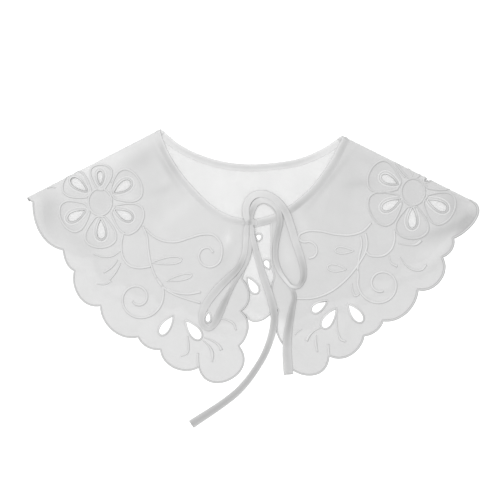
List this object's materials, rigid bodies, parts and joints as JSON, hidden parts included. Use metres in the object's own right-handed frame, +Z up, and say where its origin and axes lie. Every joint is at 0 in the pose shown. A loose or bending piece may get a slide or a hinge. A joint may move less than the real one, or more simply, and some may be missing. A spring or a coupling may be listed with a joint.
{
  "type": "false collar",
  "caption": "Sheer white cape collar with cutwork flowers and a scalloped hem, folded flat at the shoulders and tied at the neck in a loose bow.",
  "frame": {"origin": "bottom centre of the collar's own box, without the loose ties, on the surface that it lies on", "axes": "+X across to the right of the laid-out collar as seen from above, +Y towards the back neck, +Z up from the surface"},
  "size_m": [0.406, 0.2692, 0.007],
  "materials": {
    "sheer_cloth": "sheer plain-weave organza, white, soft sheen",
    "bias_binding": "folded bias strip of the same organza, closer and greyer where it is doubled",
    "bias_tie": "narrow pressed bias tie of the same organza"
  },
  "bodies": {
    "root": {"back_panel": "sheer_cloth", "front_left": "sheer_cloth", "front_right": "sheer_cloth", "neck_binding_back": "bias_binding", "neck_binding_left": "bias_binding", "neck_binding_right": "bias_binding", "knot": "bias_tie", "tie_loop_left": "bias_tie", "tie_loop_right": "bias_tie", "tie_tail_left": "bias_tie", "tie_tail_right": "bias_tie"}
  },
  "joints": []
}
